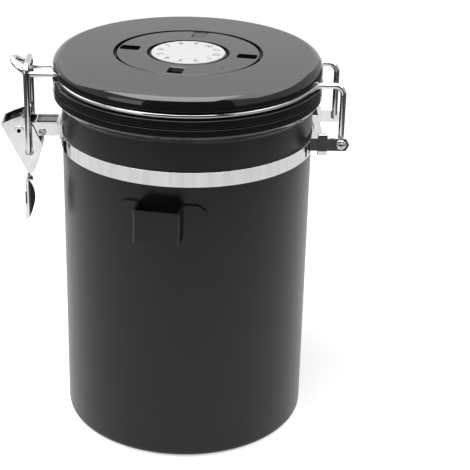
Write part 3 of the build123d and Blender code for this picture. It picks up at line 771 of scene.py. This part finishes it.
def shape_lever(work):
    """Widens the bail's holes, and makes the finger tab shallow, turned a little to the front."""
    hole = Vector((BAIL_X, 0, BAIL_FOOT_Z)) * MM
    for vertex in work.verts:
        across, up = vertex.co.x - hole.x, vertex.co.z - hole.z
        if math.hypot(across, up) < BAIL_HOLE_EDGE * MM:
            vertex.co.x = hole.x + across * BAIL_HOLE_WIDER
            vertex.co.z = hole.z + up * BAIL_HOLE_WIDER
        if vertex.co.z < TAB_TOP * MM:
            out, along = (vertex.co.x - TAB_BACK * MM) * TAB_FLATTER, vertex.co.y
            turned_x = out * math.cos(TAB_TURN) + along * math.sin(TAB_TURN)
            vertex.co.x = (TAB_BACK - TAB_SHIFT) * MM + turned_x
            vertex.co.y = along * math.cos(TAB_TURN) - out * math.sin(TAB_TURN)


lever = from_solid("latch_lever", "latch_lever_pressed", PRESSED_STEEL, 0.25, shape_lever)
place_piece(lever, "lever", "chrome", "latch_lever")
rivet = from_solid("lever_pivot_rivet", "lever_hollow_rivet", PRESSED_STEEL, 0.2)
place_piece(rivet, "lever", "chrome", "lever_pivot_rivet")
# Painted shade: the bore's faces get the dark coat, for the shadow inside the hollow rivet.
two_finishes(
    rivet,
    RIVET_BORE_PAINTED_SHADE,
    lambda c, n: abs(n.y) < 0.5 and math.hypot(c.x - PIVOT_X, c.z - PIVOT_Z) < PIVOT_BORE,
)

NECK_TOP, NECK_FOOT = Vector((-75.8, 0, 129.4)), Vector((-76.9, 0, 121.2))
NECK_HALF_WIDTH, NECK_HALF_WALL, NECK_START, NECK_TWIST = 1.55, 0.4, 20, 150  # mm and degrees


def twisted_neck():
    """The strip between the lever's tip and its finger tab, twisted on the way down."""
    steps = 20
    work = bmesh.new()
    loops = []
    for share in [k / steps for k in range(steps + 1)]:
        turn = math.radians(NECK_START + NECK_TWIST * share)
        wide = Vector((math.cos(turn), math.sin(turn), 0)) * NECK_HALF_WIDTH
        thick = Vector((-math.sin(turn), math.cos(turn), 0)) * NECK_HALF_WALL
        middle = NECK_TOP.lerp(NECK_FOOT, share)
        corners = [middle + wide * a + thick * b for a, b in ((-1, -1), (1, -1), (1, 1), (-1, 1))]
        loops.append(vertices(work, corners))
    skin(work, loops)
    return piece_of(work, "latch_lever_twisted_neck", PRESSED_STEEL)


place_piece(twisted_neck(), "lever", "chrome")

bail_half = [(BAIL_END, BAIL_FOOT_Z), (BAIL_HALF, BAIL_FOOT_Z), (BAIL_HALF, BAIL_TOP_Z)]
bail_corners = [(BAIL_X, -y, z) for y, z in bail_half]
bail_corners += [(BAIL_X, y, z) for y, z in reversed(bail_half)]
bail_route = rounded(bail_corners, [0, 2.0, 3.4, 3.4, 2.0, 0], False, 10)
place_piece(bent_wire("bail_bent_wire", bail_route, CHROME), "bail", "chrome", "bail_wire")

NOSE_Y, NOSE_BEND, NOSE_CROOK_X, NOSE_RISE, NOSE_ANGLE = 6.6, 3.0, 75.9, 2.0, math.radians(40)
RING_LEAVE = math.radians(30)  # where the ring goes over into the hinge's legs
WIRE_PAST_EAR, HEAD_PAST_EAR = 0.7, 0.15  # mm


def hinge_leg():
    """From the wire's end in the hinge's ear up the leg and on to the ring."""
    leave_x, leave_y = RING_R * math.cos(RING_LEAVE), RING_R * math.sin(RING_LEAVE)
    corner_x = leave_x + (leave_y - LEG_Y) / math.cos(RING_LEAVE) * math.sin(RING_LEAVE)
    corners = [
        (HINGE_X, EAR_OUT + WIRE_PAST_EAR, HINGE_Z),
        (HINGE_X, LEG_Y, HINGE_Z),
        (HINGE_X, LEG_Y, RING_Z),
        (corner_x, LEG_Y, RING_Z),
        (leave_x, leave_y, RING_Z),
    ]
    return rounded(corners, [0, 2.0, 4.4, 3.0, 0], False, 12)


def ring_route():
    """The lid wire's middle line: turned end, leg, ring, nose, and back on the other side."""
    bend_y = NOSE_Y + NOSE_BEND
    bend_x = math.sqrt((RING_R + NOSE_BEND) ** 2 - bend_y**2)
    join = math.pi - math.atan2(bend_y, bend_x)
    half = hinge_leg()
    ring_steps, bend_steps = 90, 10
    for k in range(1, ring_steps + 1):
        a = RING_LEAVE + (join - RING_LEAVE) * k / ring_steps
        half.append(Vector((RING_R * math.cos(a), RING_R * math.sin(a), RING_Z)))
    share = RING_R / (RING_R + NOSE_BEND)
    start = math.atan2(bend_y * (share - 1), bend_x * (1 - share))
    for k in range(1, bend_steps + 1):
        a = start + (-math.pi / 2 - start) * k / bend_steps
        x, y = -bend_x + NOSE_BEND * math.cos(a), bend_y + NOSE_BEND * math.sin(a)
        half.append(Vector((x, y, RING_Z)))
    rise = Vector((-math.cos(NOSE_ANGLE), 0, math.sin(NOSE_ANGLE)))
    crook = Vector((-NOSE_CROOK_X, NOSE_Y, RING_Z))
    rise_end = crook + rise * NOSE_RISE
    half += rounded([half[-1], crook, rise_end], [0, 3.5, 0], False, 10)[1:]
    middle, side = Vector((rise_end.x, 0, rise_end.z)), Vector((0, NOSE_Y, 0))
    tip = [
        middle + rise * (NOSE_Y * math.sin(a)) + side * math.cos(a)
        for a in [math.pi * k / ARC_STEPS for k in range(1, ARC_STEPS)]
    ]
    return half + tip + [Vector((p.x, -p.y, p.z)) for p in reversed(half)]


lid_wire = bent_wire("lid_ring_bent_wire", ring_route(), CHROME)
place_piece(lid_wire, "lid", "chrome", "lid_ring_wire")


def peened_heads():
    """The hammered round heads on the wire's ends, outside the hinge's ears."""
    facets = 28
    angles = [2 * math.pi * k / facets for k in range(facets)]
    dents = [1 + 0.05 * math.sin(3 * a + 1.0) + 0.03 * math.sin(7 * a) for a in angles]
    work = bmesh.new()
    for side in (-1, 1):
        loops = []
        for out, radius in ((0.0, 2.15), (0.25, 2.3), (0.55, 2.1), (0.8, 1.5), (0.92, 0.7)):
            y = side * (EAR_OUT + HEAD_PAST_EAR + out)
            edge = [
                (HINGE_X + radius * dent * c, y, HINGE_Z + radius * dent * s)
                for dent, (c, s) in zip(dents, circle(facets))
            ]
            loops.append(vertices(work, edge))
        skin(work, loops)
    return piece_of(work, "lid_wire_peened_heads", HAMMERED_STEEL)


place_piece(peened_heads(), "lid", "chrome")

# Lid

groove_r = RING_R - WIRE_R - FIT
pocket_top = LID_TOP - POCKET_DEPTH
pocket_low = pocket_top - POCKET_FLOOR
roof = LID_TOP - LID_WALL
outline = [
    (LID_R - SHOULDER_RUN * (1 - math.cos(a)), LID_TOP - SHOULDER_DROP * (1 - math.sin(a)))
    for a in [math.pi / 2 * k / ARC_STEPS for k in range(ARC_STEPS + 1)]
]
outline += [
    (POCKET_R, LID_TOP, 0.35),
    (POCKET_R, pocket_top),
    (HUB_BORE, pocket_top),
    (HUB_BORE, pocket_low),
    (POCKET_R + POCKET_WALL, pocket_low),
    (POCKET_R + POCKET_WALL, roof),
    (LID_R - LID_WALL, roof, 3.0),
    (LID_R - LID_WALL, SKIRT + SKIRT_RIM),
    (groove_r + FIT, SKIRT + SKIRT_RIM, 0.1),
    (groove_r + FIT, SKIRT, 0.15),
    (LID_R, SKIRT, 0.15),
]
cover = turned("lid_cover_moulded", outline, GLOSS_ABS)
two_finishes(
    cover,
    SATIN_ABS,
    lambda c, n: off_axis(c) < LID_R - LID_WALL + NEAR and n.z < -0.1 and c.z < roof + NEAR,
)
place_piece(cover, "lid", "black_moulding", "lid_cover")

outline = [
    (VALVE_OPENING, FLANGE_LOW, 0.1),
    (PLUG_R - PLUG_WALL, FLANGE_LOW, 0.3),
    (PLUG_R - PLUG_WALL, FLANGE_LOW - PLUG_DEPTH, 0.3),
    (PLUG_R, FLANGE_LOW - PLUG_DEPTH, 0.4),
    (PLUG_R, FLANGE_LOW, 0.3),
    (GASKET_IN, FLANGE_LOW, 0.2),
    (GASKET_IN, GASKET_TOP),
    (GASKET_OUT, GASKET_TOP),
    (GASKET_OUT, FLANGE_LOW, 0.2),
    (LID_R, FLANGE_LOW, 0.15),
    (LID_R, FLANGE_TOP, 0.2),
    (groove_r, FLANGE_TOP, 0.3),
    (groove_r, LID_NECK_TOP, 0.2),
    (groove_r - LID_WALL, LID_NECK_TOP),
    (groove_r - LID_WALL, FLANGE_TOP),
    (PLUG_R, FLANGE_TOP),
    (PLUG_R, FLANGE_LOW + PLUG_WALL),
    (VALVE_OPENING, FLANGE_LOW + PLUG_WALL, 0.1),
]
lid_base = turned("lid_base_moulded", outline, GLOSS_ABS)
two_finishes(
    lid_base, SATIN_ABS, lambda c, n: off_axis(c) < GASKET_OUT + 0.5 and c.z < GASKET_TOP + NEAR
)
place_piece(lid_base, "lid", "black_moulding", "lid_base")

outline = [
    (GASKET_IN + FIT, GASKET_LOW, 0.6),
    (GASKET_OUT - FIT, GASKET_LOW, 0.6),
    (GASKET_OUT - FIT, GASKET_TOP, 0.1),
    (GASKET_IN + FIT, GASKET_TOP, 0.1),
]
gasket = turned("lid_gasket_ring", outline, GASKET)
place_piece(gasket, "lid", "gasket_rubber", "lid_gasket")


def lid_screw():
    """One pan-head screw with a round driver recess, at its place on the screw circle."""
    head = FLANGE_LOW - SCREW_HEAD
    profile = (
        (0.9, head + 0.75), (1.17, head), (1.9, head + 0.1), (2.4, head + 0.45),
        (2.6, FLANGE_LOW), (1.3, FLANGE_LOW), (1.3, FLANGE_LOW + SCREW_LENGTH),
    )
    work = bmesh.new()
    small_turned(work, SCREW_CIRCLE, 0, profile)
    return mesh_of(work, "lid_screw")


screws = grown(
    "lid_pan_head_screws", lid_screw(), CIRCLE, count=4, first_angle=math.radians(45),
    step=math.radians(90), finish=RIVET_STEEL,
)
tidy(screws.data)
place_piece(screws, "lid", "brushed_steel", "lid_screws")

# Date ring with its finger notches, and the dial

outline = [
    (DATE_BORE, DATE_RING_LOW),
    (DATE_RING_R, DATE_RING_LOW),
    (DATE_RING_R, DATE_RING_TOP, 0.7),
    (DATE_WELL, DATE_RING_TOP, 0.4),
    (DATE_WELL, DATE_LIP_TOP),
    (DATE_BORE, DATE_LIP_TOP, 0.1),
]
date_ring = turned("date_ring_moulded", outline, GLOSS_ABS)
two_finishes(date_ring, SATIN_ABS, lambda c, n: c.z < DATE_LIP_TOP + NEAR)

RING_TURN = -11.5  # degrees, the date ring's place in the photograph
NOTCH_HALF, NOTCH_DEPTH = 3.6, 1.6


def sloped_notch():
    """The inside of a notch: a short slope and a wall at the dial's side, then a rising floor."""
    section = [(23.1, 1.0), (23.1, 0.0), (23.5, -0.5), (23.5, -2.3), (32.7, -0.2), (32.7, 1.0)]
    work = bmesh.new()
    loops = []
    for y in (-NOTCH_HALF, NOTCH_HALF):
        loops.append(vertices(work, [(x, y, DATE_RING_TOP + lift) for x, lift in section]))
    skin(work, loops)
    bmesh.ops.recalc_face_normals(work, faces=work.faces)
    return mesh_of(work, "notch")


def even_notch():
    """The inside of a notch of one depth with round corners."""
    height = (DATE_RING_TOP - NOTCH_DEPTH, DATE_RING_TOP + 1)
    return block("notch", (23.4, 32.9), (-3.3, 3.3), height, 1.4)


places = (("front_and_back", sloped_notch(), 270), ("sides", even_notch(), 360))
notches = [
    grown(
        "notches_" + place, tool, CIRCLE, count=2,
        first_angle=math.radians(start + RING_TURN), step=math.pi, finish=GLOSS_ABS,
    )
    for place, tool, start in places
]
cut(date_ring, notches)
place_piece(date_ring, "date_ring", "black_moulding", "date_ring")

dial_low = DIAL_TOP - DIAL_THICK
outline = [(0, dial_low), (DIAL_R, dial_low, 0.1), (DIAL_R, DIAL_TOP, 0.25), (0, DIAL_TOP)]
dial = turned("date_dial_disc", outline, WHITE_DIAL)
place_piece(dial, "lid", "white_dial", "date_dial")

PRINT_HEIGHT, PRINT_SPREAD = 0.03, 0.05  # mm of ink above the dial, and beyond the letter's line
NUMERAL_SIZE, NUMERAL_CIRCLE = 4.3, 13.6
NUMERAL_TURN, NUMERAL_STEP = -15, -30  # degrees


def printed_numerals():
    """The numbers 1 to 12 round the dial, tops outwards, as one thin raised print."""
    work = bmesh.new()
    for number in range(1, 13):
        text = bpy.data.curves.new(f"text_{number}", "FONT")
        text.body = str(number)
        text.size = NUMERAL_SIZE * MM
        text.align_x, text.align_y = "CENTER", "CENTER"
        text.extrude = PRINT_HEIGHT / 2 * MM
        text.offset = PRINT_SPREAD * MM
        text.resolution_u = 4
        holder = new_object(f"text_{number}", text)
        mesh = evaluated_mesh(holder)
        bpy.data.objects.remove(holder)
        place = Vector((NUMERAL_CIRCLE, 0, DIAL_TOP + PRINT_HEIGHT / 2)) * MM
        round_dial = Matrix.Rotation(math.radians(NUMERAL_TURN + NUMERAL_STEP * number), 4, "Z")
        tops_out = Matrix.Rotation(-math.pi / 2, 4, "Z")
        mesh.transform(round_dial @ Matrix.Translation(place) @ tops_out)
        work.from_mesh(mesh)
    return piece_of(work, "dial_numerals", PRINT_INK, 0.0005)


place_piece(printed_numerals(), "lid", "white_dial")


def index_pip():
    """The small moulded pip that points out a date on the ring."""
    angle, circle_r = math.radians(-54.8), 27.3
    lifts = ((0.8, -0.05), (0.75, 0.1), (0.45, 0.15), (0.15, 0.17))
    profile = [(radius, DATE_RING_TOP + lift) for radius, lift in lifts]
    work = bmesh.new()
    small_turned(work, circle_r * math.cos(angle), circle_r * math.sin(angle), profile)
    return piece_of(work, "date_ring_index", SATIN_ABS)


place_piece(index_pip(), "date_ring", "black_moulding")

# Valve and filter, under the lid

for node, name, coat, bevel, body, slot in (
    ("valve_seat", "valve_seat_moulded", SATIN_ABS, 0.15, "lid", "black_moulding"),
    ("valve_cap", "valve_cage_moulded", SATIN_ABS, 0.1, "lid", "black_moulding"),
    ("filter_retainer", "filter_retainer_moulded", SATIN_ABS, 0.2, "lid", "black_moulding"),
    ("valve_disc", "valve_disc_rubber", GASKET, 0.1, "valve", "gasket_rubber"),
):
    place_piece(from_solid(node, name, coat, bevel), body, slot, node)

for node, coat in (("dial_hub", SATIN_ABS), ("hub_screw", RIVET_STEEL), ("filter_disc", FELT)):
    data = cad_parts[node].data
    if not data.materials:
        data.materials.append(coat)
    for index in range(len(data.materials)):
        data.materials[index] = coat

# Studio: three soft lamps and a plain world light the object. The faces round it are seen by
# mirror rays only. Levels are radiances, where 1 is white; places are in metres.

LID_MIDDLE = (0, 0, LID_TOP * MM)
PAPER_GLOW = 0.6  # added to the paper for camera and mirror rays, which brings it to white
WORLD_LEVEL = 0.3  # of the world as a light
CEILING_BACK, CEILING_FRONT = 1.0, 4.2  # levels of the ceiling's two ends
CEILING_AIM, AIM_BACK, AIM_FRONT = (0, -0.94, 0.34), -0.78, 0.17  # brightest way, and cosines to it
TABLE_R = 0.455  # of the white table that mirror rays see
FAR = 8.0  # where the floor and the ceiling end
LEFT, RIGHT = -36, 38  # edges of the black cloth, degrees from the camera's side
WALL_R, WINDOW_R = 2.0, 1.9  # of the studio's walls and its window
PATCH_LIFT = 0.001  # of the patches above the floor
ROOM_END = 150  # degrees from the camera's side, where the dim floor ends
SHEET_HEIGHT = 1.0  # of the ceiling and the softbox's face above the lid


def seen_directly(tree):
    """1 for camera, mirror and glass rays, 0 for those that carry light."""
    rays = add(tree, "ShaderNodeLightPath").outputs
    inputs = {0: rays["Is Camera Ray"], 1: rays["Is Glossy Ray"]}
    either = add(tree, "ShaderNodeMath", inputs, operation="MAXIMUM")
    inputs = {0: either.outputs[0], 1: rays["Is Transmission Ray"]}
    return add(tree, "ShaderNodeMath", inputs, operation="MAXIMUM").outputs[0]


def paper_finish():
    """White seamless paper. Camera and mirror rays also get a glow that brings it to white."""
    made = bpy.data.materials.new("white_seamless_paper")
    tree = empty_tree(made)
    inputs = {0: seen_directly(tree), 1: PAPER_GLOW}
    glow = add(tree, "ShaderNodeMath", inputs, operation="MULTIPLY")
    paper = add(tree, "ShaderNodeBsdfDiffuse", {"Color": linear("#f4f4f4")})
    inputs = {"Color": linear("#ffffff"), "Strength": glow.outputs[0]}
    light = add(tree, "ShaderNodeEmission", inputs)
    both = add(tree, "ShaderNodeAddShader", {0: paper.outputs[0], 1: light.outputs[0]})
    add(tree, "ShaderNodeOutputMaterial", {"Surface": both.outputs[0]})
    return made


def panel_finish(name, level, falloff=None):
    """A glowing face of one level, or of the level that falloff gives for each place."""
    made = bpy.data.materials.new(name)
    tree = empty_tree(made)
    if falloff:
        level = falloff(tree, add(tree, "ShaderNodeTexCoord").outputs["Object"])
    face = add(tree, "ShaderNodeEmission", {"Color": linear("#ffffff"), "Strength": level})
    add(tree, "ShaderNodeOutputMaterial", {"Surface": face.outputs[0]})
    return made


def towards_front(tree, place):
    """The ceiling grows brighter from the back wall to the camera's side."""
    ray = add(tree, "ShaderNodeVectorMath", {0: place, 1: LID_MIDDLE}, operation="SUBTRACT")
    even = add(tree, "ShaderNodeVectorMath", {0: ray.outputs[0]}, operation="NORMALIZE")
    inputs = {0: even.outputs[0], 1: CEILING_AIM}
    facing = add(tree, "ShaderNodeVectorMath", inputs, operation="DOT_PRODUCT")
    inputs = {"Value": facing.outputs["Value"], "From Min": AIM_BACK, "From Max": AIM_FRONT}
    inputs.update({"To Min": CEILING_BACK, "To Max": CEILING_FRONT})
    return add(tree, "ShaderNodeMapRange", inputs).outputs["Result"]


def stage_face(name, corners, faces, coat):
    mesh = bpy.data.meshes.new(name)
    mesh.from_pydata(corners, [], faces)
    made = new_object(name, mesh)
    mesh.materials.append(coat)
    return made


def mirror_only(name, corners, faces, coat):
    """A face of the studio that the camera and the light don't see."""
    made = stage_face(name, corners, faces, coat)
    made.visible_camera = False
    made.visible_diffuse = False
    made.visible_shadow = False
    made.visible_transmission = False
    made.visible_volume_scatter = False


def from_front(angle, reach, height):
    """A place at an angle from the camera's side, in degrees to the right."""
    turn = math.radians(angle - 90)
    return (reach * math.cos(turn), reach * math.sin(turn), height)


def strip_faces(count):
    """Faces between a row of count corners and the row after it."""
    return [(k, k + 1, count + k + 1, count + k) for k in range(count - 1)]


def floor_patch(name, start, stop, coat):
    """A part of the floor beyond the white table, between two angles from the camera's side."""
    angles = [start + (stop - start) * k / ARC_STEPS for k in range(ARC_STEPS + 1)]
    corners = [from_front(a, reach, PATCH_LIFT) for reach in (TABLE_R, FAR) for a in angles]
    mirror_only(name, corners, strip_faces(len(angles)), coat)


def wall(name, places, coat, reach=WALL_R):
    """A part of the studio's wall, from (angle from the camera's side, elevation of its top)."""
    corners = [from_front(a, reach, 0.0) for a, _ in places]
    rises = [(a, reach * math.tan(math.radians(top))) for a, top in places]
    corners += [from_front(a, reach, LID_TOP * MM + rise) for a, rise in rises]
    mirror_only(name, corners, strip_faces(len(places)), coat)


def overhead(name, corners, coat):
    """A level sheet above the lid."""
    places = [(x, y, SHEET_HEIGHT + LID_TOP * MM) for x, y in corners]
    mirror_only(name, places, [tuple(range(len(corners)))], coat)


def softbox(name, place, aim, width, length, radiance):
    """An area lamp of even brightness that mirror rays don't see."""
    data = bpy.data.lights.new(name, "AREA")
    data.shape = "RECTANGLE"
    data.size, data.size_y = width, length
    data.energy = radiance * math.pi * width * length
    made = new_object(name, data)
    made.location = place
    made.rotation_mode = "QUATERNION"
    made.rotation_quaternion = (Vector(aim) - Vector(place)).to_track_quat("-Z", "Y")
    made.visible_glossy = False


corners = [(-FAR, -FAR, 0), (FAR, -FAR, 0), (FAR, FAR, 0), (-FAR, FAR, 0)]
stage_face("floor", corners, [(0, 1, 2, 3)], paper_finish())

CLOTH = panel_finish("black_cloth_before_the_table", 0.08)
ROOM = panel_finish("dim_room_beside_the_table", 0.7)
ROOM_FLOOR = panel_finish("dim_floor_beside_the_table", 0.12)
WINDOW = panel_finish("window_beside_the_table", 2.2)
CEILING = panel_finish("white_ceiling_sheet", 1.0, towards_front)
SOFTBOX_FACE = panel_finish("front_softbox_face", 8.5)

floor_patch("cloth_on_floor", LEFT, RIGHT, CLOTH)
floor_patch("room_floor_left", -ROOM_END, LEFT, ROOM_FLOOR)
floor_patch("room_floor_right", RIGHT, ROOM_END, ROOM_FLOOR)
wall("front_cloth", [(LEFT, 37), (-18, 40), (0, 42), (18, 43), (RIGHT, 46)], CLOTH)
wall("left_room", [(-140, 0), (-103, 6), (-81, 31), (-58, 33), (LEFT, 37)], ROOM)
wall("right_room", [(RIGHT, 46), (70, 47), (100, 42), (132, 32), (150, 10), (158, 0)], ROOM)
wall("left_window", [(-66, 10), (-50, 16), (LEFT - 1, 18)], WINDOW, WINDOW_R)
overhead("ceiling_sheet", [(-FAR, -0.2), (FAR, -0.2), (FAR, 4.5), (-FAR, 4.5)], CEILING)
overhead("ceiling_sheet_right", [(0.6, -0.9), (3, -0.9), (3, -0.2), (0.6, -0.2)], CEILING)
corners = [(-1.6, -0.28), (-1.0, -1.2), (0.5, -1.15), (0.62, -0.2), (-0.45, -0.2)]
overhead("softbox_face", corners, SOFTBOX_FACE)

# Lamps: place, aim, width, length and level
softbox("overhead_softbox", (-0.157, -0.25, 0.95), LID_MIDDLE, 0.58, 0.5, 4.2)
softbox("left_softbox", (-1.1, 0.15, 0.45), (0, 0, 0.09), 0.5, 0.9, 1.6)
softbox("right_softbox", (1.1, 0.25, 0.45), (0, 0, 0.09), 0.5, 0.9, 1.6)


def set_world():
    """Even white studio: a plain level for light, full white where it is seen directly."""
    world = bpy.data.worlds.new("studio")
    bpy.context.scene.world = world
    tree = empty_tree(world)
    inputs = {"Value": seen_directly(tree), "To Min": WORLD_LEVEL, "To Max": 1.0}
    level = add(tree, "ShaderNodeMapRange", inputs).outputs["Result"]
    sky = add(tree, "ShaderNodeBackground", {"Color": linear("#ffffff"), "Strength": level})
    add(tree, "ShaderNodeOutputWorld", {"Surface": sky.outputs[0]})


set_world()
bpy.context.scene.view_settings.view_transform = "Standard"
